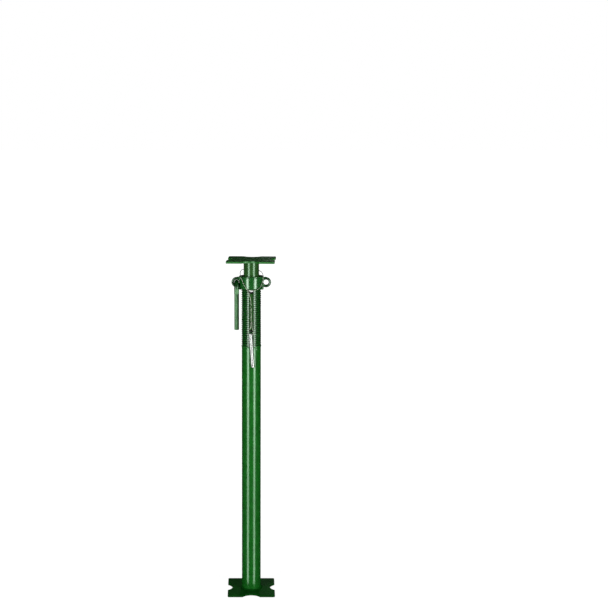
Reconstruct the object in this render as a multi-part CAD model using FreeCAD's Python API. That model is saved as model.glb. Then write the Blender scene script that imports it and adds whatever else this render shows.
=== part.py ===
"""Adjustable steel prop, closed: two telescoping tubes with end plates, a collar nut and a pin.

Millimetres. +Z is up, the origin is the centre of the base plate's underside, and -Y is the
side where the locking pin hangs. The pin's slots and holes run along Y, the nut's eyes along X.
"""
import FreeCAD
import Part
import math
import os

from FreeCAD import Vector

tolerance = 1e-6  # for telling edges apart by where they lie

# End plates
plate_side = 150.0
plate_thickness = 6.0
plate_corner_radius = 5.0
plate_edge_radius = 0.8
notch_chord = 55.0
notch_depth = 15.0
notch_lip_radius = 2.0
head_turn = -3.0  # degrees that the head plate is welded out of line with the base plate

# Lower tube and its welds
outer_od = 60.3
outer_wall = 3.2
outer_length = 789.5
base_weld_leg = 5.0
weld_fullness = 0.58  # how far out a fillet weld's face stands, as a share of its leg
seam_height = 5.5
seam_rise = 1.45
plug_weld_radius = 4.0
plug_weld_rise = 1.1
plug_weld_azimuth = -52.0  # degrees about Z, from +X
plug_weld_drop = 7.5

# Thread, sleeve and its pin slots
thread_pitch = 6.5
thread_turns = 27
thread_rise = 0.7
thread_run_out = 5.0
thread_clearance = 0.08
slot_width = 15.0
slot_from_sleeve_foot = 47.5
slot_from_sleeve_top = 21.0

# Upper tube
tube_gap = 2.8  # between the lower tube's bore and the upper tube
inner_wall = 3.2
closed_stand_off = 59.0  # from the sleeve's top to the head plate, with the tubes closed
pin_hole_diameter = 15.0
pin_hole_pitch = 127.0
pin_hole_count = 7
first_hole_from_top = 100.0
head_weld_leg = 4.0

# Collar nut. Its walls and eyes are measured outwards from its bore.
nut_height = 41.0
nut_overlap = 29.0  # how much of the nut's height is round the sleeve when it is fully up
nut_foot_wall = 3.07
nut_wall = 5.87
nut_lip_wall = 7.57
nut_lip_height = 3.0
nut_groove_height = 2.5
nut_groove_depth = 1.0
nut_foot_radius = 5.0
nut_lip_radius = 1.0
eye_reach = 15.07
eye_od = 32.0
eye_below_nut_top = 19.5
eye_hole_diameter = 16.0
eye_land = 3.0
eye_mouth_radius = 5.5
eye_rim_radius = 3.0
web_thickness = 11.0
web_foot_drop = 1.5
web_reach = 7.67
web_top_drop = 1.0
web_shoulder = -14.0  # degrees round the eye from its top, towards the nut, to the end of the web's top edge
web_corner_radius = 2.5

# Turning handle, a round bar hooked through the left eye
handle_diameter = 15.0
handle_bend_radius = 20.0
handle_reach = 154.5  # from the eye's centre to the end of the long leg
handle_hook_reach = 35.0  # and to the end of the short leg
handle_end_radius = 1.5
handle_seat = 0.3

# Locking pin
pin_diameter = 12.0
pin_length = 108.0
pin_end_chamfer = 1.5
pin_tilt = 4.1  # degrees to the right, as it hangs
pin_hole_from_top = 5.5
pin_wire_hole = 3.2
pin_wire_mouth = 0.7
pin_hang_gap = 1.1  # from the sleeve to the hanging pin
pin_wire_drop = 180.6  # from the nut's top to the wire in the pin
pin_wire_offset = -2.5

# Wire lanyard
wire_diameter = 2.0
wire_seat = 0.1
ferrule_length = 8.0
ferrule_wall = 0.65
ferrule_fit = 0.02
ferrule_drop = 143.0  # from the nut's top to the ferrule's middle
strand_offset = 1.05
strand_play = 0.25
fold_overhang = 2.3  # how far past the pin's sides the wire turns into its hole
fold_leg = 5.2
fold_splay = 0.2

# Places that follow from the sizes above
sleeve_od = outer_od + 2.0 * thread_rise
sleeve_length = thread_pitch * thread_turns + nut_overlap + thread_run_out
sleeve_foot = plate_thickness + outer_length
sleeve_top = sleeve_foot + sleeve_length
slot_foot = sleeve_foot + slot_from_sleeve_foot
slot_top = sleeve_top - slot_from_sleeve_top
inner_od = outer_od - 2.0 * (outer_wall + tube_gap)
head_underside = sleeve_top + closed_stand_off
closed_height = head_underside + plate_thickness
bore_radius = sleeve_od / 2.0 + thread_clearance
nut_top = sleeve_top + nut_height - nut_overlap
nut_foot = nut_top - nut_height
eye_x = bore_radius + eye_reach
eye_thickness = eye_land + 2.0 * eye_mouth_radius
eye_z = nut_top - eye_below_nut_top
hang_y = -(sleeve_od + pin_diameter) / 2.0 - pin_hang_gap

# Points along the wire's centreline, chosen by hand. Heights are below the nut's top.
noose_points = [
    (-9.3, -37.95, -45.3),
    (-15.6, -37.2, -35.5),
    (-22.6, -33.4, -24.0),
    (-29.0, -28.6, -12.0),
    (-34.0, -24.0, -1.0),
    (-36.6, -16.0, 6.0),
    (-36.4, -3.5, 10.0),
    (-31.5, 12.0, 13.5),
    (-21.0, 26.2, 16.5),
    (-5.0, 33.8, 18.0),
    (12.0, 31.8, 16.5),
    (26.0, 22.4, 13.5),
    (34.2, 8.4, 10.0),
    (37.2, -6.0, 7.0),
    (37.4, -18.4, 2.5),
    (34.6, -24.6, -7.5),
    (29.6, -29.0, -19.0),
    (22.6, -33.6, -29.5),
    (14.0, -37.6, -37.0),
    (3.0, -40.0, -41.0),
    (-7.6, -39.3, -44.2),
]
tail_points = [
    (-9.2, hang_y, -45.6),
    (-5.2, hang_y, -56.5),
    (-1.9, hang_y, -68.0),
    (-0.6, hang_y, -89.0),
    (-0.5, hang_y, -111.0),
    (-1.0, hang_y, -133.0),
    (-strand_offset, hang_y, -152.5),
    (-3.9, hang_y, -160.5),
    (-8.6, hang_y, -168.0),
]
tail_return_points = [
    (4.6, hang_y, -168.0),
    (3.3, hang_y, -160.0),
    (strand_offset, hang_y, -152.5),
    (strand_offset, hang_y, -138.0),
]


def along_y(radius, length, x, z):
    """A round bar along Y, centred on Y = 0."""
    return Part.makeCylinder(radius, length, Vector(x, -length / 2.0, z), Vector(0, 1, 0))


def pipe(outer_radius, inner_radius, foot, length):
    """A plain tube standing on Z = foot."""
    bar = Part.makeCylinder(outer_radius, length, Vector(0, 0, foot))
    return bar.cut(Part.makeCylinder(inner_radius, length, Vector(0, 0, foot)))


def ring_of(profile, centre, direction):
    """A closed profile turned a full circle about an axis."""
    return Part.Face(Part.Wire(profile)).revolve(centre, direction, 360.0)


def line(a, b):
    return Part.LineSegment(a, b).toShape()


def arc(a, middle, b):
    return Part.Arc(a, middle, b).toShape()


def polygon(points):
    """Straight edges from each point to the next, closed."""
    return [line(a, b) for a, b in zip(points, points[1:] + points[:1])]


def in_profile_plane(radius, height):
    return Vector(radius, 0, height)


def end_plate(underside, turn):
    """A square plate with an arc cut out of the middle of each side."""
    half = plate_side / 2.0
    blank = Part.makeBox(
        plate_side, plate_side, plate_thickness, Vector(-half, -half, underside)
    )
    corners = [e for e in blank.Edges if abs(e.Length - plate_thickness) < tolerance]
    plate = blank.makeFillet(plate_corner_radius, corners)
    arc_radius = (notch_chord**2 / 4.0 + notch_depth**2) / (2.0 * notch_depth)
    reach = half + arc_radius - notch_depth
    for quarter in range(4):
        cutter = Part.makeCylinder(
            arc_radius, plate_thickness, Vector(reach, 0, underside)
        )
        cutter.rotate(Vector(), Vector(0, 0, 1), 90.0 * quarter)
        plate = plate.cut(cutter)
    lips = [
        e
        for e in plate.Edges
        if abs(e.Vertexes[0].X - e.Vertexes[-1].X) < tolerance
        and abs(e.Vertexes[0].Y - e.Vertexes[-1].Y) < tolerance
        and min(abs(e.Vertexes[0].X), abs(e.Vertexes[0].Y)) < notch_chord / 2.0 + 1.0
    ]
    plate = plate.makeFillet(notch_lip_radius, lips)
    rims = [e for e in plate.Edges if e.BoundBox.ZLength < tolerance]
    plate = plate.makeFillet(plate_edge_radius, rims)
    plate.rotate(Vector(), Vector(0, 0, 1), turn)
    return plate


def fillet_weld(tube_radius, plate_face, leg, direction):
    """A weld run round a tube's foot, with a slightly full face."""
    inner = in_profile_plane(tube_radius, plate_face)
    outer = in_profile_plane(tube_radius + leg, plate_face)
    upper = in_profile_plane(tube_radius, plate_face + direction * leg)
    crown = weld_fullness * leg
    full = in_profile_plane(tube_radius + crown, plate_face + direction * crown)
    profile = [line(inner, outer), arc(outer, full, upper), line(upper, inner)]
    return ring_of(profile, Vector(), Vector(0, 0, 1))


def outer_tube():
    radius = outer_od / 2.0
    return pipe(radius, radius - outer_wall, plate_thickness, outer_length)


def slot_cutter():
    """One slot through both walls of the sleeve, with round ends."""
    radius = slot_width / 2.0
    low = slot_foot + radius
    high = slot_top - radius
    straight = Part.makeBox(
        slot_width, sleeve_od, high - low, Vector(-radius, -sleeve_od / 2.0, low)
    )
    cutter = straight.fuse(along_y(radius, sleeve_od, 0, low))
    return cutter.fuse(along_y(radius, sleeve_od, 0, high))


def threaded_sleeve():
    """The sleeve at its thread's crest, bored to the lower tube's size."""
    bore = outer_od / 2.0 - outer_wall
    sleeve = pipe(sleeve_od / 2.0, bore, sleeve_foot, sleeve_length)
    return sleeve.cut(slot_cutter())


def seam_weld():
    """The weld run round the joint of the lower tube and the wider sleeve."""
    tube = outer_od / 2.0
    sleeve = sleeve_od / 2.0
    half = seam_height / 2.0
    low = in_profile_plane(tube, sleeve_foot - half)
    step_in = in_profile_plane(tube, sleeve_foot)
    step_out = in_profile_plane(sleeve, sleeve_foot)
    high = in_profile_plane(sleeve, sleeve_foot + half)
    crown = in_profile_plane(tube + seam_rise, sleeve_foot)
    profile = [
        line(low, step_in),
        line(step_in, step_out),
        line(step_out, high),
        arc(high, crown, low),
    ]
    return ring_of(profile, Vector(), Vector(0, 0, 1))


def plug_weld():
    """A low round weld in a hole just under the seam."""
    tube = outer_od / 2.0
    ball = (plug_weld_radius**2 + plug_weld_rise**2) / (2.0 * plug_weld_rise)
    bead = Part.makeSphere(ball, Vector(tube + plug_weld_rise - ball, 0, 0))
    bead = bead.common(Part.makeBox(tube, tube, tube, Vector(tube / 2.0, -tube / 2.0, -tube / 2.0)))
    bead = bead.cut(Part.makeCylinder(tube, 2.0 * tube, Vector(0, 0, -tube)))
    bead.rotate(Vector(), Vector(0, 0, 1), plug_weld_azimuth)
    bead.translate(Vector(0, 0, sleeve_foot - plug_weld_drop))
    return bead


def inner_tube():
    radius = inner_od / 2.0
    length = head_underside - plate_thickness
    tube = pipe(radius, radius - inner_wall, plate_thickness, length)
    for number in range(pin_hole_count):
        height = closed_height - first_hole_from_top - pin_hole_pitch * number
        tube = tube.cut(along_y(pin_hole_diameter / 2.0, 2.0 * inner_od, 0, height))
    return tube


def nut_body():
    """The turned form of the nut, before its bore: foot, wall, groove and lip."""
    foot = bore_radius + nut_foot_wall
    body = bore_radius + nut_wall
    lip = bore_radius + nut_lip_wall
    groove = body - nut_groove_depth
    lip_foot = nut_top - nut_lip_height
    groove_foot = lip_foot - nut_groove_height
    shoulder = nut_foot + nut_foot_radius
    sag = 1.0 - math.sqrt(0.5)
    start = in_profile_plane(0, nut_foot)
    foot_in = in_profile_plane(foot - nut_foot_radius / 2.0, nut_foot)
    foot_out = in_profile_plane(foot + nut_foot_radius / 2.0, shoulder)
    foot_mid = in_profile_plane(foot_out.x - nut_foot_radius * sag, nut_foot + nut_foot_radius * sag)
    wall_top = in_profile_plane(body, groove_foot)
    groove_in = in_profile_plane(groove, groove_foot + nut_groove_height / 2.0)
    lip_low = in_profile_plane(lip, lip_foot)
    lip_out = in_profile_plane(lip, nut_top - nut_lip_radius)
    lip_mid = in_profile_plane(lip - nut_lip_radius * sag, nut_top - nut_lip_radius * sag)
    lip_in = in_profile_plane(lip - nut_lip_radius, nut_top)
    end = in_profile_plane(0, nut_top)
    profile = [
        line(start, foot_in),
        arc(foot_in, foot_mid, foot_out),
        line(foot_out, wall_top),
        line(wall_top, groove_in),
        line(groove_in, lip_low),
        line(lip_low, lip_out),
        arc(lip_out, lip_mid, lip_in),
        line(lip_in, end),
        line(end, start),
    ]
    return ring_of(profile, Vector(), Vector(0, 0, 1))


def eye_boss():
    """The solid round end of one lug, with a rounded rim."""
    boss = along_y(eye_od / 2.0, eye_thickness, eye_x, eye_z)
    return boss.makeFillet(eye_rim_radius, [e for e in boss.Edges if len(e.Vertexes) == 1])


def eye_hole():
    """What is cut from a lug: a short land, and a quarter-round bell mouth on each side."""
    hole = eye_hole_diameter / 2.0
    half = eye_thickness / 2.0
    land = eye_land / 2.0
    sag = eye_mouth_radius * (1.0 - math.sqrt(0.5))

    def at(radius, y):
        return Vector(eye_x + radius, y, eye_z)

    profile = [line(at(0, -half), at(0, half)), line(at(hole, -land), at(hole, land))]
    for side in (1, -1):
        rim = at(hole + eye_mouth_radius, side * half)
        profile.append(line(at(0, side * half), rim))
        profile.append(arc(rim, at(hole + sag, side * (half - sag)), at(hole, side * land)))
    profile = Part.__sortEdges__(profile)
    return ring_of(profile, Vector(eye_x, 0, eye_z), Vector(0, 1, 0))


def eye_web():
    """The flat web between the nut's wall and its eye, which reaches a little below the nut."""
    foot = nut_foot - web_foot_drop
    inside = bore_radius - nut_foot_wall
    outside = bore_radius + web_reach
    lean = math.radians(web_shoulder)
    shoulder_x = eye_x - math.sin(lean) * eye_od / 2.0
    shoulder_z = eye_z + math.cos(lean) * eye_od / 2.0
    side = -web_thickness / 2.0
    corners = [
        Vector(inside, side, foot),
        Vector(outside, side, foot),
        Vector(outside, side, eye_z),
        Vector(shoulder_x, side, shoulder_z),
        Vector(inside, side, nut_top - web_top_drop),
    ]
    web = Part.Face(Part.Wire(polygon(corners))).extrude(Vector(0, web_thickness, 0))
    foot_edges = [
        e
        for e in web.Edges
        if all(abs(v.Z - foot) + abs(v.X - outside) < tolerance for v in e.Vertexes)
    ]
    return web.makeFillet(web_corner_radius, foot_edges)


def collar_nut():
    """The cast nut: a flared ring with an eye on each side."""
    nut = nut_body()
    holes = []
    for half_turn in (0.0, 180.0):
        lug = [eye_boss(), eye_web(), eye_hole()]
        for piece in lug:
            piece.rotate(Vector(), Vector(0, 0, 1), half_turn)
        nut = nut.fuse(lug[0]).fuse(lug[1])
        holes.append(lug[2])
    bore = Part.makeCylinder(
        bore_radius, nut_height + 2.0 * web_foot_drop, Vector(0, 0, nut_foot - web_foot_drop)
    )
    return nut.cut(holes + [bore])


def nut_handle():
    """A round bar bent into a hook that hangs in the left eye."""
    radius = handle_diameter / 2.0
    crown = eye_z - eye_hole_diameter / 2.0 + handle_seat + radius
    bend = crown - handle_bend_radius
    front = Vector(-eye_x, -handle_bend_radius, bend)
    back = Vector(-eye_x, handle_bend_radius, bend)
    short_leg = Part.makeCylinder(
        radius, bend - eye_z + handle_hook_reach, front, Vector(0, 0, -1)
    )
    long_leg = Part.makeCylinder(
        radius, bend - eye_z + handle_reach, back, Vector(0, 0, -1)
    )
    section = Part.Face(Part.Wire(Part.Circle(front, Vector(0, 0, 1), radius).toShape()))
    hook = section.revolve(Vector(-eye_x, 0, bend), Vector(-1, 0, 0), 180.0)
    bar = short_leg.fuse(hook).fuse(long_leg).removeSplitter()
    ends = [
        e
        for e in bar.Edges
        if e.BoundBox.ZLength < tolerance and e.BoundBox.ZMax < bend - tolerance
    ]
    return bar.makeFillet(handle_end_radius, ends)


def pin_down():
    """The direction in which the hanging pin points."""
    tilt = math.radians(pin_tilt)
    return Vector(math.sin(tilt), 0, -math.cos(tilt))


def pin_across():
    """The direction of the wire's hole through the pin."""
    tilt = math.radians(pin_tilt)
    return Vector(math.cos(tilt), 0, math.sin(tilt))


def wire_in_pin():
    """The wire's centre where it passes through the pin."""
    return Vector(pin_wire_offset, hang_y, nut_top - pin_wire_drop)


def pin_top():
    """The middle of the pin's top, with the wire hard up under the top of its hole."""
    lift = (pin_wire_hole - wire_diameter) / 2.0 - wire_seat
    return wire_in_pin() - pin_down() * (pin_hole_from_top - lift)


def locking_pin():
    radius = pin_diameter / 2.0
    bar = Part.makeCylinder(radius, pin_length, pin_top(), pin_down())
    bar = bar.makeChamfer(
        pin_end_chamfer, [e for e in bar.Edges if len(e.Vertexes) == 1]
    )
    centre = pin_top() + pin_down() * pin_hole_from_top
    hole = pin_wire_hole / 2.0
    bar = bar.cut(
        Part.makeCylinder(hole, 2.0 * pin_diameter, centre - pin_across() * pin_diameter, pin_across())
    )
    for side in (1, -1):
        mouth = Part.makeCone(
            hole,
            hole + 2.0 * pin_wire_mouth,
            2.0 * pin_wire_mouth,
            centre + pin_across() * side * (radius - pin_wire_mouth),
            pin_across() * side,
        )
        bar = bar.cut(mouth)
    return bar


def bent_wire(points, name):
    """A round wire along straight runs joined by tangent arcs, as large as the runs allow."""
    points = [Vector(x, y, nut_top + below) for x, y, below in points]
    edges = []
    radii = []
    start = points[0]
    length = 0.0
    for before, corner, after in zip(points, points[1:], points[2:]):
        come = (before - corner).normalize()
        go = (after - corner).normalize()
        turn = math.pi - come.getAngle(go)
        cut_back = 0.45 * min((before - corner).Length, (after - corner).Length)
        radius = cut_back / math.tan(turn / 2.0)
        first = corner + come * cut_back
        last = corner + go * cut_back
        inward = (come + go).normalize()
        crown = corner + inward * (radius / math.cos(turn / 2.0) - radius)
        edges.append(line(start, first))
        edges.append(arc(first, crown, last))
        length += (first - start).Length + radius * turn
        radii.append(radius)
        start = last
    edges.append(line(start, points[-1]))
    length += (points[-1] - start).Length
    path = Part.Wire(edges)
    section = Part.Circle(points[0], points[1] - points[0], wire_diameter / 2.0)
    tube = path.makePipeShell([Part.Wire(section.toShape())], True, False)
    volume = math.pi * wire_diameter**2 / 4.0 * length
    print(
        f"{name}: length {length:.1f}, smallest radius {min(radii):.1f}, largest "
        f"{max(radii):.1f}, volume {tube.Volume / volume:.4f} of its section times its length"
    )
    return tube


def lanyard_noose():
    return bent_wire(noose_points, "lanyard_noose")


def lanyard_tail():
    """The wire from the knot to the ferrule, through the pin and back to the ferrule."""
    reach = pin_diameter / 2.0 + fold_overhang
    left = wire_in_pin() - pin_across() * reach
    right = wire_in_pin() + pin_across() * reach
    fold = [
        left + Vector(-fold_splay, 0, fold_leg),
        left,
        right,
        right + Vector(fold_splay, 0, fold_leg),
    ]
    fold = [(p.x, p.y, p.z - nut_top) for p in fold]
    return bent_wire(tail_points + fold + tail_return_points, "lanyard_tail")


def oval(half_width, radius, foot, height):
    """An upright bar with a flat oval section, in the plane in which the wire hangs."""
    flat = Part.makeBox(
        2.0 * half_width, 2.0 * radius, height, Vector(-half_width, -radius, 0)
    )
    for side in (-half_width, half_width):
        flat = flat.fuse(Part.makeCylinder(radius, height, Vector(side, 0, 0)))
    flat = flat.removeSplitter()
    flat.translate(Vector(0, hang_y, foot))
    return flat


def lanyard_ferrule():
    """The crimped sleeve round the two strands above the pin."""
    bore = wire_diameter / 2.0 + ferrule_fit
    foot = nut_top - ferrule_drop - ferrule_length / 2.0
    body = oval(strand_offset, bore + ferrule_wall, foot, ferrule_length)
    return body.cut(oval(strand_offset + strand_play, bore, foot, ferrule_length))


def build():
    """Every piece by its name."""
    outer = outer_od / 2.0
    inner = inner_od / 2.0
    return {
        "base_plate": end_plate(0.0, 0.0),
        "base_weld": fillet_weld(outer, plate_thickness, base_weld_leg, 1),
        "outer_tube": outer_tube(),
        "seam_weld": seam_weld(),
        "plug_weld": plug_weld(),
        "threaded_sleeve": threaded_sleeve(),
        "inner_tube": inner_tube(),
        "head_weld": fillet_weld(inner, head_underside, head_weld_leg, -1),
        "head_plate": end_plate(head_underside, head_turn),
        "collar_nut": collar_nut(),
        "nut_handle": nut_handle(),
        "locking_pin": locking_pin(),
        "lanyard_noose": lanyard_noose(),
        "lanyard_tail": lanyard_tail(),
        "lanyard_ferrule": lanyard_ferrule(),
    }


def main():
    os.makedirs("parts", exist_ok=True)
    for name, shape in build().items():
        shape.exportStep(f"parts/{name}.step")
    print(f"nut travel {thread_pitch * thread_turns:.1f} in {thread_turns} turns")


main()
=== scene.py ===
"""Looks of a closed adjustable steel prop.

It has green enamel, a cast nut, a rolled thread, weld beads, and a plated pin on a wire.
"""
import math
import random

import bpy
from mathutils import Matrix, Vector


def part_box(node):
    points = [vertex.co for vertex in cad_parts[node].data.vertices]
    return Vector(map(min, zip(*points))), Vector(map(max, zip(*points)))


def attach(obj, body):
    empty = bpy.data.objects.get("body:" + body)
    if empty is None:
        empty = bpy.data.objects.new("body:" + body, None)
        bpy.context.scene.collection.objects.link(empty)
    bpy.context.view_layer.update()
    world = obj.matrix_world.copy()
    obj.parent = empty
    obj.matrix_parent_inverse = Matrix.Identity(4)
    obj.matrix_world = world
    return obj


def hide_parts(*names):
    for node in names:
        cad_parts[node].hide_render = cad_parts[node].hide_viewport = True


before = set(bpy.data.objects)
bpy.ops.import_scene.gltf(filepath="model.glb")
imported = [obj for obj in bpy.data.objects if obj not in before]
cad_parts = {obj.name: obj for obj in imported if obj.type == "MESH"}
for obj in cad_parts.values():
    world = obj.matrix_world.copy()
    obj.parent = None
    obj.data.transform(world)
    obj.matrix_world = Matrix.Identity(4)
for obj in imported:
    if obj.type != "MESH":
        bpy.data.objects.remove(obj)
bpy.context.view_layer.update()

# Places read from the frame, in metres
foot_of_sleeve, top_of_sleeve = (corner.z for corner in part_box("threaded_sleeve"))
top_of_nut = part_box("collar_nut")[1].z
head_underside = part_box("head_plate")[0].z
top_of_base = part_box("base_plate")[1].z
lower_tube_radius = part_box("outer_tube")[1].x
upper_tube_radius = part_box("inner_tube")[1].x
crest_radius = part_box("threaded_sleeve")[1].x

# Rolled thread and the sleeve's slot
thread_pitch = 0.0065
thread_depth = 0.0019
thread_steps = 80
thread_shade_margin = 0.0003
sleeve_bore_radius = 0.02695
slot_width = 0.015
slot_foot = foot_of_sleeve + 0.0475
slot_top = top_of_sleeve - 0.021

# Wire: its strands' lay, and the plane that its tail and the pin hang in
wire_diameter = 0.002
strands_round_core = 6
strand_diameter = wire_diameter / 3.0
wire_lay = 0.013
hang_y = -0.03795

# Knot: close turns of thin wire
knot_wire_radius = 0.0006
knot_radius = 0.0017
knot_pitch = 0.00125
knot_turns = 4
knot_steps = 24
knot_place = (-0.0100, hang_y + 0.0001, top_of_nut - 0.0445)
knot_turn = (math.radians(-4.5), math.radians(-32.0), 0.0)

# Ferrule: where along it the crimping tool pressed, and how far
dent_places = (0.22, 0.5, 0.78)
dent_reach = 0.07
dent_across_y = 0.13
dent_across_x = 0.05

# Weld ripples
ripple_tilt = math.radians(18.0)
ripple_least, ripple_most = 0.95, 1.06

# Where the nut's dark paint ends on the handle, and where the nut's eyes and their painted shade
# begin
handle_paint_line = 0.979
paint_line_wander = 0.006
paint_line_blur = 0.0012
eyes_begin, eyes_full = 0.0390, 0.0440

# Camera: its frame, and where the prop's axis and the level through the camera fall in it
frame_pixels = 608
axis_pixel = (251.3, 272.0)
focal_pixels = 1266.0
sensor_width = 36.0
camera_place = Vector((0.0, -3.916, 1.5427))
camera_pitch = math.radians(7.47)

# Room round the prop, and the white that is seen behind it
room_colour = (0.92, 0.97, 1.0, 1.0)
room_strength = 0.14
white = (1.0, 1.0, 1.0, 1.0)

# How much of the floor by the prop glows white, the rest being lit
floor_grey = (0.75, 0.75, 0.75, 1.0)
floor_glow_near = 0.85
floor_glow_strength = 1.11
shadow_full, shadow_gone = 0.15, 0.9

# Meshes
merge_reach = 0.00001
tiny = 1e-6

# Paint and metal, written as linear colours
tube_green = (0.005, 0.092, 0.007, 1.0)
upper_green = (0.020, 0.080, 0.014, 1.0)
thread_green = (0.003, 0.066, 0.005, 1.0)
# Thread roots: dirt and painted shade in their hollows
root_dirt_and_shade_green = (0.001, 0.022, 0.002, 1.0)
nut_green = (0.006, 0.080, 0.010, 1.0)
# Painted shade on the nut's eyes, and the dark paint on the handle's top
eye_shade_and_dark_paint_green = (0.002, 0.030, 0.004, 1.0)
plate_green = (0.002, 0.042, 0.003, 1.0)
# A lighter copy of the plate paint: painted light on the head plate
head_painted_light_green = (0.006, 0.105, 0.006, 1.0)
handle_green = (0.062, 0.177, 0.064, 1.0)
rubbed_green = (0.16, 0.22, 0.15, 1.0)
dust_colour = (0.20, 0.22, 0.17, 1.0)
gloss_tint = (0.68, 1.0, 0.74, 1.0)
zinc = (0.42, 0.44, 0.42, 1.0)
wire_grey = (0.36, 0.40, 0.32, 1.0)

# Paint: shades of it at the two ends of its slow changes, and how rough dust and lacquer are
dark_share, light_share = 0.86, 1.12
dust_roughness = 0.35
lacquer_roughness = 0.16


def deselect():
    for item in bpy.context.selected_objects:
        item.select_set(False)


def only(piece):
    """Makes one piece the selected and active one."""
    deselect()
    piece.select_set(True)
    bpy.context.view_layer.objects.active = piece


def named(name):
    piece = bpy.context.object
    piece.name = name
    piece.data.name = name
    return piece


def added(name, data):
    """A new object in the scene that shows a mesh, a camera or a light."""
    item = bpy.data.objects.new(name, data)
    bpy.context.scene.collection.objects.link(item)
    return item


def settle(piece):
    """Puts a piece's place, turn and size into its mesh."""
    only(piece)
    bpy.ops.object.transform_apply(location=True, rotation=True, scale=True)
    return piece


def apply_modifiers(piece):
    only(piece)
    for modifier in list(piece.modifiers):
        bpy.ops.object.modifier_apply(modifier=modifier.name)


def smooth(piece, angle):
    only(piece)
    bpy.ops.object.shade_smooth_by_angle(angle=math.radians(angle))


def merge_corners():
    """In edit mode, makes one of corners that lie on each other."""
    bpy.ops.mesh.select_all(action="SELECT")
    bpy.ops.mesh.remove_doubles(threshold=merge_reach)


def cylinder(name, radius, depth, place, corners, turn=(0.0, 0.0, 0.0)):
    deselect()
    bpy.ops.mesh.primitive_cylinder_add(
        vertices=corners, radius=radius, depth=depth, location=place, rotation=turn
    )
    return settle(named(name))


def copy_of_node(node, name):
    """A merged copy of a CAD node's mesh, to be finished as a piece of its own."""
    piece = added(name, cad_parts[node].data.copy())
    piece.data.name = name
    only(piece)
    bpy.ops.object.mode_set(mode="EDIT")
    merge_corners()
    bpy.ops.object.mode_set(mode="OBJECT")
    return piece


def cut_with(piece, cutters):
    """Takes the cutters' shapes out of a piece."""
    for cutter in cutters:
        cut = piece.modifiers.new(cutter.name, "BOOLEAN")
        cut.operation = "DIFFERENCE"
        cut.solver = "EXACT"
        cut.object = cutter
    apply_modifiers(piece)
    for cutter in cutters:
        bpy.data.objects.remove(cutter)


def fuse_soft(piece, voxel, rounds):
    """Melts what a piece is built of into one skin with soft inner corners."""
    only(piece)
    piece.data.remesh_voxel_size = voxel
    bpy.ops.object.voxel_remesh()
    bpy.ops.mesh.customdata_custom_splitnormals_clear()
    relax = piece.modifiers.new("relax", "SMOOTH")
    relax.factor = 0.5
    relax.iterations = rounds
    apply_modifiers(piece)
    bpy.ops.object.shade_smooth()


# Camera and stage


def photo_camera():
    data = bpy.data.cameras.new("photo_camera")
    data.sensor_width = sensor_width
    data.lens = focal_pixels / frame_pixels * sensor_width
    data.shift_x = 0.5 - axis_pixel[0] / frame_pixels
    data.shift_y = axis_pixel[1] / frame_pixels - 0.5
    camera = added("photo_camera", data)
    camera.location = camera_place
    camera.rotation_euler = (math.pi / 2.0 - camera_pitch, 0.0, 0.0)
    bpy.context.scene.camera = camera


def seen_directly(tree):
    """One where a ray comes straight from the camera, or off metal or through glass."""
    path = tree.nodes.new("ShaderNodeLightPath")
    total = path.outputs["Is Camera Ray"]
    for output in ("Is Glossy Ray", "Is Transmission Ray"):
        total = calculate(tree, "ADD", total, path.outputs[output], clamp=True)
    return total


def mix_shaders(tree, share, first, second, output):
    """Shows the first shader where the share is none, and the second where it is one."""
    mix = tree.nodes.new("ShaderNodeMixShader")
    tree.links.new(share, mix.inputs["Fac"])
    tree.links.new(first.outputs[0], mix.inputs[1])
    tree.links.new(second.outputs[0], mix.inputs[2])
    tree.links.new(mix.outputs[0], output.inputs["Surface"])


def white_world():
    """A white backdrop, which lights the object only as softly as a grey room."""
    world = bpy.data.worlds.new("white_world")
    bpy.context.scene.world = world
    world.use_nodes = True
    tree = world.node_tree
    tree.nodes.clear()
    room = tree.nodes.new("ShaderNodeBackground")
    room.inputs["Color"].default_value = room_colour
    room.inputs["Strength"].default_value = room_strength
    backdrop = tree.nodes.new("ShaderNodeBackground")
    backdrop.inputs["Color"].default_value = white
    backdrop.inputs["Strength"].default_value = 1.0
    output = tree.nodes.new("ShaderNodeOutputWorld")
    mix_shaders(tree, seen_directly(tree), room, backdrop, output)


def pale_floor():
    """A plain floor that shows white, with a trace of the prop's shadow near its foot."""
    deselect()
    bpy.ops.mesh.primitive_plane_add(size=80.0, location=(0.0, 0.0, 0.0))
    floor = settle(named("floor"))
    material, tree = new_material("pale_floor")
    tree.nodes.clear()
    matt = tree.nodes.new("ShaderNodeBsdfDiffuse")
    matt.inputs["Color"].default_value = floor_grey
    glow = tree.nodes.new("ShaderNodeEmission")
    glow.inputs["Strength"].default_value = floor_glow_strength
    away = vector_math(tree, "LENGTH", place_on_piece(tree)).outputs["Value"]
    fade = ramp(tree, away, shadow_full, shadow_gone, start=floor_glow_near, end=1.0)
    share = calculate(tree, "MULTIPLY", seen_directly(tree), fade)
    mix_shaders(tree, share, matt, glow, tree.nodes.new("ShaderNodeOutputMaterial"))
    floor.data.materials.append(material)
    floor.visible_glossy = False


def strip_light(name, azimuth, distance, width, foot, top, watts, lean=0.0):
    """A tall soft strip that faces the prop. Azimuth is from the camera's side, towards +X."""
    data = bpy.data.lights.new(name, "AREA")
    data.shape = "RECTANGLE"
    data.size = width
    data.size_y = top - foot
    data.energy = watts
    light = added(name, data)
    turn = math.radians(azimuth)
    place = (distance * math.sin(turn), -distance * math.cos(turn), (top + foot) / 2.0)
    light.matrix_world = (
        Matrix.Translation(place)
        @ Matrix.Rotation(turn, 4, "Z")
        @ Matrix.Rotation(math.radians(lean), 4, "Y")
        @ Matrix.Rotation(math.pi / 2.0, 4, "X")
    )
    return light


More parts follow.
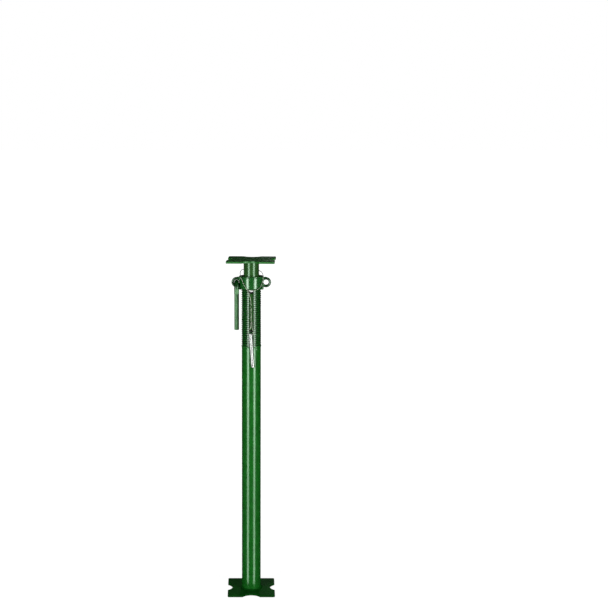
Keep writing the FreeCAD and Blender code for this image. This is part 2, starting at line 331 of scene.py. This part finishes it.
def dark_surround():
    """Black cards all round the set, seen only in the gloss, which keep the tubes' flanks dark."""
    cards = cylinder("dark_cards", radius=3.2, depth=9.0, place=(0.0, 0.0, 1.5), corners=96)
    material, tree = new_material("black_card")
    card = tree.nodes["Principled BSDF"]
    card.inputs["Base Color"].default_value = (0.01, 0.01, 0.01, 1.0)
    card.inputs["Roughness"].default_value = 0.9
    cards.data.materials.append(material)
    cards.visible_camera = False
    cards.visible_diffuse = False
    cards.visible_transmission = False
    cards.visible_shadow = False


def studio():
    white_world()
    pale_floor()
    dark_surround()
    for side, azimuth in (("left", -37.5), ("right", 40.0)):
        strip_light(
            f"{side}_strip", azimuth,
            distance=2.0, width=0.68, foot=-1.1, top=2.4, watts=42.0, lean=8.0,
        )
        strip_light(
            f"{side}_boost", azimuth,
            distance=1.99, width=0.62, foot=0.05, top=1.45, watts=9.0, lean=8.0,
        )
        strip_light(
            f"back_{side}_strip", 4.3 * azimuth,
            distance=2.2, width=0.3, foot=-0.8, top=1.6, watts=4.0,
        )
    back = strip_light(
        "back_fill", azimuth=180.0, distance=2.4, width=1.6, foot=0.0, top=2.4, watts=22.0
    )
    back.visible_glossy = False


# Threaded sleeve


def thread_line():
    """One pitch of the thread as a line in the plane of +X and +Z, from the origin's height up.

    Steps are shares: of the depth, out from the root, and of the pitch, along it.
    """
    root = crest_radius - thread_depth
    steps = [
        (0.0, 0.00), (0.0, 0.13), (0.10, 0.20), (0.50, 0.28), (0.90, 0.36), (1.0, 0.44),
        (1.0, 0.69), (0.90, 0.77), (0.50, 0.85), (0.10, 0.93), (0.0, 1.00),
    ]
    places = [
        Vector((root + rise * thread_depth, 0.0, along * thread_pitch)) for rise, along in steps
    ]
    deselect()
    bpy.ops.mesh.primitive_plane_add(size=thread_pitch, location=places[0])
    line = settle(named("threaded_sleeve_rolled"))
    bpy.ops.object.mode_set(mode="EDIT")
    bpy.ops.mesh.select_all(action="SELECT")
    bpy.ops.mesh.merge(type="CENTER")
    for start, end in zip(places, places[1:]):
        bpy.ops.mesh.extrude_vertices_move(TRANSFORM_OT_translate={"value": end - start})
    bpy.ops.object.mode_set(mode="OBJECT")
    return line


def slot_cutter():
    """A bar along Y with half-round ends above and below, as wide as the slot."""
    radius = slot_width / 2.0
    low = slot_foot + radius
    bar = cylinder(
        "slot_cutter", radius, depth=0.1, place=(0.0, 0.0, low), corners=48,
        turn=(math.pi / 2.0, 0.0, 0.0),
    )
    for corner in bar.data.vertices:
        if corner.co.z > low + tiny:
            corner.co.z += slot_top - slot_foot - slot_width
    return bar


def rolled_sleeve():
    """The sleeve with its thread, its bore and the pin's slot through both walls."""
    extra_turns = 2
    turns = math.ceil((top_of_sleeve - foot_of_sleeve) / thread_pitch) + extra_turns
    sleeve = thread_line()
    sleeve.location = (0.0, 0.0, foot_of_sleeve - thread_pitch)
    settle(sleeve)
    screw = sleeve.modifiers.new("thread", "SCREW")
    screw.screw_offset = thread_pitch
    screw.iterations = turns
    screw.steps = thread_steps
    screw.render_steps = thread_steps
    apply_modifiers(sleeve)
    bpy.ops.object.mode_set(mode="EDIT")
    merge_corners()
    for height, up in ((foot_of_sleeve, -1.0), (top_of_sleeve, 1.0)):
        bpy.ops.mesh.select_all(action="SELECT")
        bpy.ops.mesh.bisect(
            plane_co=(0.0, 0.0, height),
            plane_no=(0.0, 0.0, up),
            use_fill=True,
            clear_outer=True,
        )
    bpy.ops.mesh.select_all(action="SELECT")
    bpy.ops.mesh.normals_make_consistent(inside=False)
    bpy.ops.object.mode_set(mode="OBJECT")
    middle = (foot_of_sleeve + top_of_sleeve) / 2.0
    bore = cylinder(
        "bore_cutter", sleeve_bore_radius, depth=0.3, place=(0.0, 0.0, middle),
        corners=thread_steps,
    )
    cut_with(sleeve, [bore, slot_cutter()])
    smooth(sleeve, angle=40.0)
    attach(sleeve, "lower")
    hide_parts("threaded_sleeve")
    return sleeve


# Cast nut and welds


def cast_nut():
    """The nut as a casting, with soft inner corners."""
    nut = copy_of_node("collar_nut", "collar_nut_cast")
    fuse_soft(nut, voxel=0.0006, rounds=6)
    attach(nut, "nut")
    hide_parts("collar_nut")
    return nut


def weld_run(name, radius, height, ripple, count, lean, seed):
    """A bead of overlapping ripples round a tube. Ripple is their reach round, out and up.

    Radius and height place the bead's middle.
    """
    draw = random.Random(seed)
    ripples = []
    for number in range(count):
        turn = 2.0 * math.pi * number / count
        deselect()
        bpy.ops.mesh.primitive_uv_sphere_add(segments=14, ring_count=8, radius=1.0)
        drop = named(f"{name}_{number}")
        around, out, up = (reach * draw.uniform(ripple_least, ripple_most) for reach in ripple)
        shape = (
            Matrix.Rotation(turn, 4, "Z")
            @ Matrix.Translation((radius, 0.0, height))
            @ Matrix.Rotation(lean, 4, "Y")
            @ Matrix.Rotation(ripple_tilt, 4, "X")
            @ Matrix.Diagonal((out, around, up, 1.0))
        )
        drop.data.transform(shape)
        ripples.append(drop)
    deselect()
    for drop in ripples:
        drop.select_set(True)
    bpy.context.view_layer.objects.active = ripples[0]
    bpy.ops.object.join()
    return named(name)


def welds():
    """The weld runs at the base, the seam and the head, and the plug weld."""
    base = weld_run(
        "base_weld_bead", radius=lower_tube_radius + 0.0012, height=top_of_base + 0.0012,
        ripple=(0.0030, 0.0032, 0.0029), count=58, lean=math.radians(45.0), seed=3,
    )
    seam = weld_run(
        "seam_weld_bead", radius=lower_tube_radius - 0.0008, height=foot_of_sleeve,
        ripple=(0.0029, 0.0021, 0.0026), count=60, lean=0.0, seed=5,
    )
    head = weld_run(
        "head_weld_bead", radius=upper_tube_radius + 0.0010, height=head_underside - 0.0010,
        ripple=(0.0028, 0.0025, 0.0023), count=48, lean=math.radians(-45.0), seed=7,
    )
    for bead in (base, seam, head):
        fuse_soft(bead, voxel=0.0005, rounds=2)
    plug = copy_of_node("plug_weld", "plug_weld_bead")
    fuse_soft(plug, voxel=0.0003, rounds=4)
    beads = ((base, "base_weld"), (seam, "seam_weld"), (head, "head_weld"), (plug, "plug_weld"))
    for bead, node in beads:
        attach(bead, "upper" if node == "head_weld" else "lower")
        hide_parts(node)
    return [bead for bead, node in beads]


# Wire lanyard

noose_points = [
    (-0.0093, hang_y, -0.0453),
    (-0.0156, -0.0372, -0.0355),
    (-0.0226, -0.0336, -0.0240),
    (-0.0276, -0.0302, -0.0115),
    (-0.0322, -0.0264, -0.0010),
    (-0.0348, -0.0170, 0.0070),
    (-0.0345, -0.0035, 0.0135),
    (-0.0308, 0.0124, 0.0175),
    (-0.0206, 0.0270, 0.0188),
    (-0.0050, 0.0338, 0.0190),
    (0.0112, 0.0324, 0.0172),
    (0.0246, 0.0230, 0.0142),
    (0.0326, 0.0086, 0.0115),
    (0.0352, -0.0060, 0.0078),
    (0.0376, -0.0190, 0.0020),
    (0.0364, -0.0232, -0.0110),
    (0.0326, -0.0258, -0.0235),
    (0.0262, -0.0312, -0.0335),
    (0.0160, -0.0374, -0.0402),
    (0.0020, -0.0402, -0.0412),
    (-0.0086, -0.0387, -0.0430),
]
tail_points = [
    (-0.0092, hang_y, -0.0456),
    (-0.0052, hang_y, -0.0565),
    (-0.0019, hang_y, -0.0680),
    (-0.0006, hang_y, -0.0890),
    (-0.0005, hang_y, -0.1110),
    (-0.0010, hang_y, -0.1330),
    (-0.00105, hang_y, -0.1525),
    (-0.0039, hang_y, -0.1605),
    (-0.0086, hang_y, -0.1680),
    (-0.01098, hang_y, -0.17599),
    (-0.01078, hang_y, -0.18119),
    (-0.00559, hang_y, -0.18082),
    (0.00059, hang_y, -0.18038),
    (0.00578, hang_y, -0.18001),
    (0.00598, hang_y, -0.17481),
    (0.0046, hang_y, -0.1680),
    (0.0033, hang_y, -0.1600),
    (0.00105, hang_y, -0.1525),
    (0.00105, hang_y, -0.1380),
]


def smooth_line(points):
    """Close places along the smooth line that a route's points steer.

    The points' heights are counted from the nut's top.
    """
    data = bpy.data.curves.new("route", "CURVE")
    data.dimensions = "3D"
    spline = data.splines.new("NURBS")
    spline.points.add(len(points) - 1)
    for point, (x, y, below) in zip(spline.points, points):
        point.co = (x, y, top_of_nut + below, 1.0)
    spline.order_u = 3
    spline.use_endpoint_u = True
    spline.resolution_u = 24
    route = bpy.data.objects.new("route", data)
    mesh = bpy.data.meshes.new_from_object(route)
    places = [corner.co.copy() for corner in mesh.vertices]
    bpy.data.meshes.remove(mesh)
    bpy.data.objects.remove(route)
    bpy.data.curves.remove(data)
    return [places[0]] + [b for a, b in zip(places, places[1:]) if (b - a).length > tiny]


def laid_strands(places):
    """Strands twisted round a core, and the core, each as a line of places."""
    ahead = [(b - a).normalized() for a, b in zip(places, places[1:])]
    ahead.append(ahead[-1])
    side = ahead[0].orthogonal().normalized()
    run = 0.0
    lines = [list(places)] + [[] for number in range(strands_round_core)]
    for number, place in enumerate(places):
        if number:
            run += (place - places[number - 1]).length
            side = ahead[number - 1].rotation_difference(ahead[number]) @ side
        other = ahead[number].cross(side)
        for strand in range(strands_round_core):
            turn = 2.0 * math.pi * (run / wire_lay + strand / strands_round_core)
            reach = side * math.cos(turn) + other * math.sin(turn)
            lines[strand + 1].append(place + reach * strand_diameter)
    return lines


def wire_rope(name, points):
    """A wire rope along a route, and the line that it follows."""
    places = smooth_line(points)
    data = bpy.data.curves.new(name, "CURVE")
    data.dimensions = "3D"
    for line in laid_strands(places):
        spline = data.splines.new("POLY")
        spline.points.add(len(line) - 1)
        for point, place in zip(spline.points, line):
            point.co = (*place, 1.0)
    data.bevel_depth = strand_diameter / 2.0
    data.bevel_resolution = 1
    data.use_fill_caps = True
    strands = bpy.data.objects.new(name, data)
    mesh = bpy.data.meshes.new_from_object(strands)
    bpy.data.objects.remove(strands)
    bpy.data.curves.remove(data)
    mesh.name = name
    piece = added(name, mesh)
    only(piece)
    bpy.ops.object.shade_smooth()
    return piece, [tuple(place) for place in places]


def noose_knot():
    """Close turns of wire that bind the noose's two ends just above where the tail leaves."""
    deselect()
    bpy.ops.mesh.primitive_circle_add(
        vertices=12, radius=knot_wire_radius, fill_type="NGON",
        location=(knot_radius, 0.0, 0.0), rotation=(math.pi / 2.0, 0.0, 0.0),
    )
    knot = settle(named("noose_knot"))
    coil = knot.modifiers.new("turns", "SCREW")
    coil.screw_offset = knot_pitch
    coil.iterations = knot_turns
    coil.steps = knot_steps
    coil.render_steps = knot_steps
    apply_modifiers(knot)
    bpy.ops.object.mode_set(mode="EDIT")
    merge_corners()
    bpy.ops.mesh.normals_make_consistent(inside=False)
    bpy.ops.object.mode_set(mode="OBJECT")
    knot.location = knot_place
    knot.rotation_euler = knot_turn
    settle(knot)
    smooth(knot, angle=60.0)
    return knot


def pressed_ferrule():
    """The ferrule with the dents of its crimping tool."""
    ferrule = copy_of_node("lanyard_ferrule", "lanyard_ferrule_pressed")
    fuse_soft(ferrule, voxel=0.00022, rounds=3)
    low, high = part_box("lanyard_ferrule")
    middle = (low + high) / 2.0
    for corner in ferrule.data.vertices:
        along = (corner.co.z - low.z) / (high.z - low.z)
        dent = sum(math.exp(-(((along - at) / dent_reach) ** 2)) for at in dent_places)
        corner.co.y = middle.y + (corner.co.y - middle.y) * (1.0 - dent_across_y * dent)
        corner.co.x = middle.x + (corner.co.x - middle.x) * (1.0 - dent_across_x * dent)
    return ferrule


def lanyard():
    noose, noose_line = wire_rope("lanyard_noose_wire", noose_points)
    tail, tail_line = wire_rope("lanyard_tail_wire", tail_points)
    knot = noose_knot()
    ferrule = pressed_ferrule()
    for piece in (noose, knot):
        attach(piece, "noose")
    for piece in (tail, ferrule):
        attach(piece, "lanyard")
    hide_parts("lanyard_noose")
    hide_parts("lanyard_tail")
    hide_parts("lanyard_ferrule")
    return [noose, tail, knot, ferrule]


# Materials


def new_group(name, inputs, outputs):
    """A shader group with named number inputs and the outputs that it is given."""
    tree = bpy.data.node_groups.new(name, "ShaderNodeTree")
    for label, value in inputs:
        socket = tree.interface.new_socket(label, in_out="INPUT", socket_type="NodeSocketFloat")
        socket.default_value = value
    for label, kind in outputs:
        tree.interface.new_socket(label, in_out="OUTPUT", socket_type=kind)
    entry = tree.nodes.new("NodeGroupInput")
    leave = tree.nodes.new("NodeGroupOutput")
    return tree, entry, leave


def new_material(name):
    """A material and its nodes."""
    material = bpy.data.materials.new(name)
    material.use_nodes = True
    return material, material.node_tree


def feed(tree, socket, value):
    """Sets a socket to a plain value, or links it to the socket that gives the value."""
    if isinstance(value, bpy.types.NodeSocket):
        tree.links.new(value, socket)
    else:
        socket.default_value = value


def place_on_piece(tree):
    """A point's place in the piece's own coordinates."""
    return tree.nodes.new("ShaderNodeTexCoord").outputs["Object"]


def noise(tree, scale, detail=3.0, roughness=0.55):
    """Noise over the piece's own place. Scale is a number, or a socket that gives one."""
    made = tree.nodes.new("ShaderNodeTexNoise")
    made.inputs["Detail"].default_value = detail
    made.inputs["Roughness"].default_value = roughness
    tree.links.new(place_on_piece(tree), made.inputs["Vector"])
    feed(tree, made.inputs["Scale"], scale)
    return made.outputs["Fac"]


def calculate(tree, operation, *values, clamp=False):
    made = tree.nodes.new("ShaderNodeMath")
    made.operation = operation
    made.use_clamp = clamp
    for socket, value in zip(made.inputs, values):
        feed(tree, socket, value)
    return made.outputs[0]


def vector_math(tree, operation, *values):
    made = tree.nodes.new("ShaderNodeVectorMath")
    made.operation = operation
    for socket, value in zip(made.inputs, values):
        feed(tree, socket, value)
    return made


def ramp(tree, value, low, high, start=0.0, end=1.0):
    """Start where the value is low or under, end where it is high or over, smooth between."""
    made = tree.nodes.new("ShaderNodeMapRange")
    made.interpolation_type = "SMOOTHSTEP"
    ends = {"From Min": low, "From Max": high, "To Min": start, "To Max": end}
    for label, number in ends.items():
        made.inputs[label].default_value = number
    tree.links.new(value, made.inputs["Value"])
    return made.outputs["Result"]


def blend_colour(tree, share, first, second):
    made = tree.nodes.new("ShaderNodeMix")
    made.data_type = "RGBA"
    feed(tree, made.inputs["Factor"], share)
    feed(tree, made.inputs[6], first)
    feed(tree, made.inputs[7], second)
    return made.outputs[2]


def skin_group():
    """Fine unevenness of a surface: two sizes of noise as bumps, and the coarse one as a value."""
    tree, entry, leave = new_group(
        "uneven_skin",
        [("Grain", 900.0), ("Depth", 0.0001), ("Waves", 60.0), ("Wave Depth", 0.0003)],
        [("Normal", "NodeSocketVector"), ("Tone", "NodeSocketFloat")],
    )
    fine_noise = noise(tree, entry.outputs["Grain"])
    fine = calculate(tree, "MULTIPLY", fine_noise, entry.outputs["Depth"])
    coarse_noise = noise(tree, entry.outputs["Waves"], detail=2.0)
    coarse = calculate(tree, "MULTIPLY", coarse_noise, entry.outputs["Wave Depth"])
    bump = tree.nodes.new("ShaderNodeBump")
    bump.inputs["Distance"].default_value = 1.0
    bump.inputs["Strength"].default_value = 1.0
    tree.links.new(calculate(tree, "ADD", fine, coarse), bump.inputs["Height"])
    tree.links.new(bump.outputs["Normal"], leave.inputs["Normal"])
    tree.links.new(coarse_noise, leave.inputs["Tone"])
    return tree


def rubbed_group():
    """Where a piece's edges are rubbed: its corners, broken up by noise."""
    tree, entry, leave = new_group(
        "rubbed_edges",
        [("Reach", 0.001), ("Amount", 0.5), ("Grain", 220.0)],
        [("Mask", "NodeSocketFloat")],
    )
    rounded = tree.nodes.new("ShaderNodeBevel")
    rounded.samples = 4
    tree.links.new(entry.outputs["Reach"], rounded.inputs["Radius"])
    shape = tree.nodes.new("ShaderNodeNewGeometry")
    across = vector_math(tree, "DOT_PRODUCT", rounded.outputs["Normal"], shape.outputs["Normal"])
    edge = ramp(tree, across.outputs["Value"], 0.99, 0.9)
    specks = noise(tree, entry.outputs["Grain"], detail=4.0, roughness=0.65)
    patches = ramp(tree, specks, 0.50, 0.60)
    both = calculate(tree, "MULTIPLY", edge, patches)
    mask = calculate(tree, "MULTIPLY", both, entry.outputs["Amount"], clamp=True)
    tree.links.new(mask, leave.inputs["Mask"])
    return tree


def dust_group():
    """Where dust settles: on faces that look up, in patches."""
    tree, entry, leave = new_group(
        "settled_dust", [("Amount", 0.3), ("Grain", 30.0)], [("Mask", "NodeSocketFloat")]
    )
    shape = tree.nodes.new("ShaderNodeNewGeometry")
    parts = tree.nodes.new("ShaderNodeSeparateXYZ")
    tree.links.new(shape.outputs["Normal"], parts.inputs[0])
    upward = ramp(tree, parts.outputs["Z"], 0.35, 0.95)
    specks = noise(tree, entry.outputs["Grain"], detail=5.0, roughness=0.6)
    patches = ramp(tree, specks, 0.38, 0.70)
    both = calculate(tree, "MULTIPLY", upward, patches)
    mask = calculate(tree, "MULTIPLY", both, entry.outputs["Amount"], clamp=True)
    tree.links.new(mask, leave.inputs["Mask"])
    return tree


def scaled(colour, share):
    return tuple(share * part for part in colour[:3]) + (1.0,)


def place_group(tree, group, **values):
    made = tree.nodes.new("ShaderNodeGroup")
    made.node_tree = group
    for label, value in values.items():
        made.inputs[label.replace("_", " ")].default_value = value
    return made


def height_of(tree):
    """A point's height on the piece."""
    parts = tree.nodes.new("ShaderNodeSeparateXYZ")
    tree.links.new(place_on_piece(tree), parts.inputs[0])
    return parts.outputs["Z"]


def dirt_and_shade_in_thread(tree):
    """One in the thread's roots, where dirt and painted shade darken the paint, and none on its
    crests.
    """
    flat = vector_math(tree, "MULTIPLY", place_on_piece(tree), (1.0, 1.0, 0.0))
    out = vector_math(tree, "LENGTH", flat.outputs["Vector"])
    low = crest_radius - thread_depth + thread_shade_margin
    high = crest_radius - thread_shade_margin
    return ramp(tree, out.outputs["Value"], low, high, start=1.0, end=0.0)


def painted_shade_on_eyes(tree):
    """One on the nut's eyes, where painted shade darkens the paint, and none on its barrel."""
    sides = vector_math(tree, "ABSOLUTE", place_on_piece(tree))
    parts = tree.nodes.new("ShaderNodeSeparateXYZ")
    tree.links.new(sides.outputs["Vector"], parts.inputs[0])
    return ramp(tree, parts.outputs["X"], eyes_begin, eyes_full)


def by_the_eye(tree):
    """One on the handle's top, which is painted with the nut, down to an uneven line."""
    uneven = calculate(
        tree, "MULTIPLY_ADD", noise(tree, 120.0), paint_line_wander, height_of(tree)
    )
    middle = handle_paint_line + paint_line_wander / 2.0
    return ramp(tree, uneven, middle - paint_line_blur, middle + paint_line_blur)


def enamel(
    name, colour, groups, gloss=0.22, grain=850.0, depth=0.00001, rub=0.35, dust=0.2, lacquer=0.0,
    shaded=None, shade=None, shade_rough=0.0, ior=1.7,
):
    """Paint on steel: orange peel, slow changes of tone, rubbed corners and a little dust.

    Gloss is its roughness. Shaded makes a mask, under which the paint takes the colour shade and
    is rougher by shade_rough.
    """
    material, tree = new_material(name)
    shader = tree.nodes["Principled BSDF"]
    skin = place_group(
        tree, groups["skin"], Grain=grain, Depth=depth, Waves=45.0, Wave_Depth=0.00012
    )
    worn = place_group(tree, groups["rubbed"], Reach=0.0008, Amount=rub)
    dusty = place_group(tree, groups["dust"], Amount=dust)
    tone = ramp(tree, skin.outputs["Tone"], 0.3, 0.7)
    paint = blend_colour(tree, tone, scaled(colour, dark_share), scaled(colour, light_share))
    paint = blend_colour(tree, worn.outputs["Mask"], paint, rubbed_green)
    paint = blend_colour(tree, dusty.outputs["Mask"], paint, dust_colour)
    streaks = ramp(tree, noise(tree, 18.0, detail=4.0), 0.3, 0.7, gloss - 0.03, gloss + 0.04)
    rough = calculate(tree, "MULTIPLY_ADD", dusty.outputs["Mask"], dust_roughness, streaks)
    if shaded:
        shadow = shaded(tree)
        paint = blend_colour(tree, shadow, paint, shade)
        rough = calculate(tree, "MULTIPLY_ADD", shadow, shade_rough, rough)
    tree.links.new(paint, shader.inputs["Base Color"])
    tree.links.new(rough, shader.inputs["Roughness"])
    tree.links.new(skin.outputs["Normal"], shader.inputs["Normal"])
    shader.inputs["IOR"].default_value = ior
    shader.inputs["Specular Tint"].default_value = gloss_tint
    shader.inputs["Coat Weight"].default_value = lacquer
    shader.inputs["Coat Roughness"].default_value = lacquer_roughness
    return material


def bare_metal(name, colour, groups, rough, grain, depth, tarnish, metal):
    """Plated steel: fine marks and a cloudy tone, down to tarnish times its colour."""
    material, tree = new_material(name)
    shader = tree.nodes["Principled BSDF"]
    skin = place_group(
        tree, groups["skin"], Grain=grain, Depth=depth, Waves=260.0, Wave_Depth=0.000004
    )
    tone = ramp(tree, skin.outputs["Tone"], 0.35, 0.65)
    plating = blend_colour(tree, tone, scaled(colour, tarnish), colour)
    tree.links.new(plating, shader.inputs["Base Color"])
    marks = ramp(tree, noise(tree, 400.0, detail=4.0), 0.3, 0.7, rough - 0.015, rough + 0.015)
    tree.links.new(marks, shader.inputs["Roughness"])
    tree.links.new(skin.outputs["Normal"], shader.inputs["Normal"])
    shader.inputs["Metallic"].default_value = metal
    return material


def dress(piece, material):
    piece.data.materials.clear()
    piece.data.materials.append(material)


def finish_surfaces(sleeve, nut, beads, wires):
    groups = {"skin": skin_group(), "rubbed": rubbed_group(), "dust": dust_group()}
    tube = enamel("tube_enamel", tube_green, groups)
    upper = enamel("upper_enamel", upper_green, groups)
    plate = enamel("plate_enamel", plate_green, groups, gloss=0.42, rub=0.45, dust=0.0, ior=1.06)
    # The nut's eyes are darkened with painted shade
    casting = enamel(
        "nut_enamel", nut_green, groups, grain=520.0, depth=0.00002, lacquer=0.7,
        shaded=painted_shade_on_eyes, shade=eye_shade_and_dark_paint_green, shade_rough=0.08,
    )
    # The head plate's paint is lighter than the base plate's, as painted light on its top
    head = enamel("head_enamel_painted_light", head_painted_light_green, groups, gloss=0.42, rub=0.45, dust=0.05)
    # The thread's roots are darkened by dirt and painted shade
    thread = enamel(
        "thread_enamel", thread_green, groups, dust=0.1, lacquer=1.0,
        shaded=dirt_and_shade_in_thread, shade=root_dirt_and_shade_green, shade_rough=0.1,
    )
    bar = enamel(
        "handle_enamel", handle_green, groups, gloss=0.46, rub=0.5,
        shaded=by_the_eye, shade=eye_shade_and_dark_paint_green, shade_rough=-0.2,
    )
    pin = bare_metal(
        "zinc_plate", zinc, groups,
        rough=0.28, grain=1400.0, depth=0.000002, tarnish=0.9, metal=0.75,
    )
    steel = bare_metal(
        "galvanised_wire", wire_grey, groups,
        rough=0.3, grain=1800.0, depth=0.00001, tarnish=0.75, metal=0.9,
    )
    nodes = {
        "outer_tube": tube,
        "inner_tube": upper,
        "base_plate": plate,
        "head_plate": head,
        "nut_handle": bar,
        "locking_pin": pin,
    }
    for node, material in nodes.items():
        dress(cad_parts[node], material)
    dress(sleeve, thread)
    dress(nut, casting)
    for bead in beads:
        dress(bead, plate if bead.name == "base_weld_bead" else tube)
    for piece in wires:
        dress(piece, steel)


photo_camera()
bpy.context.scene.view_settings.view_transform = "Standard"
studio()
finish_surfaces(rolled_sleeve(), cast_nut(), welds(), lanyard())
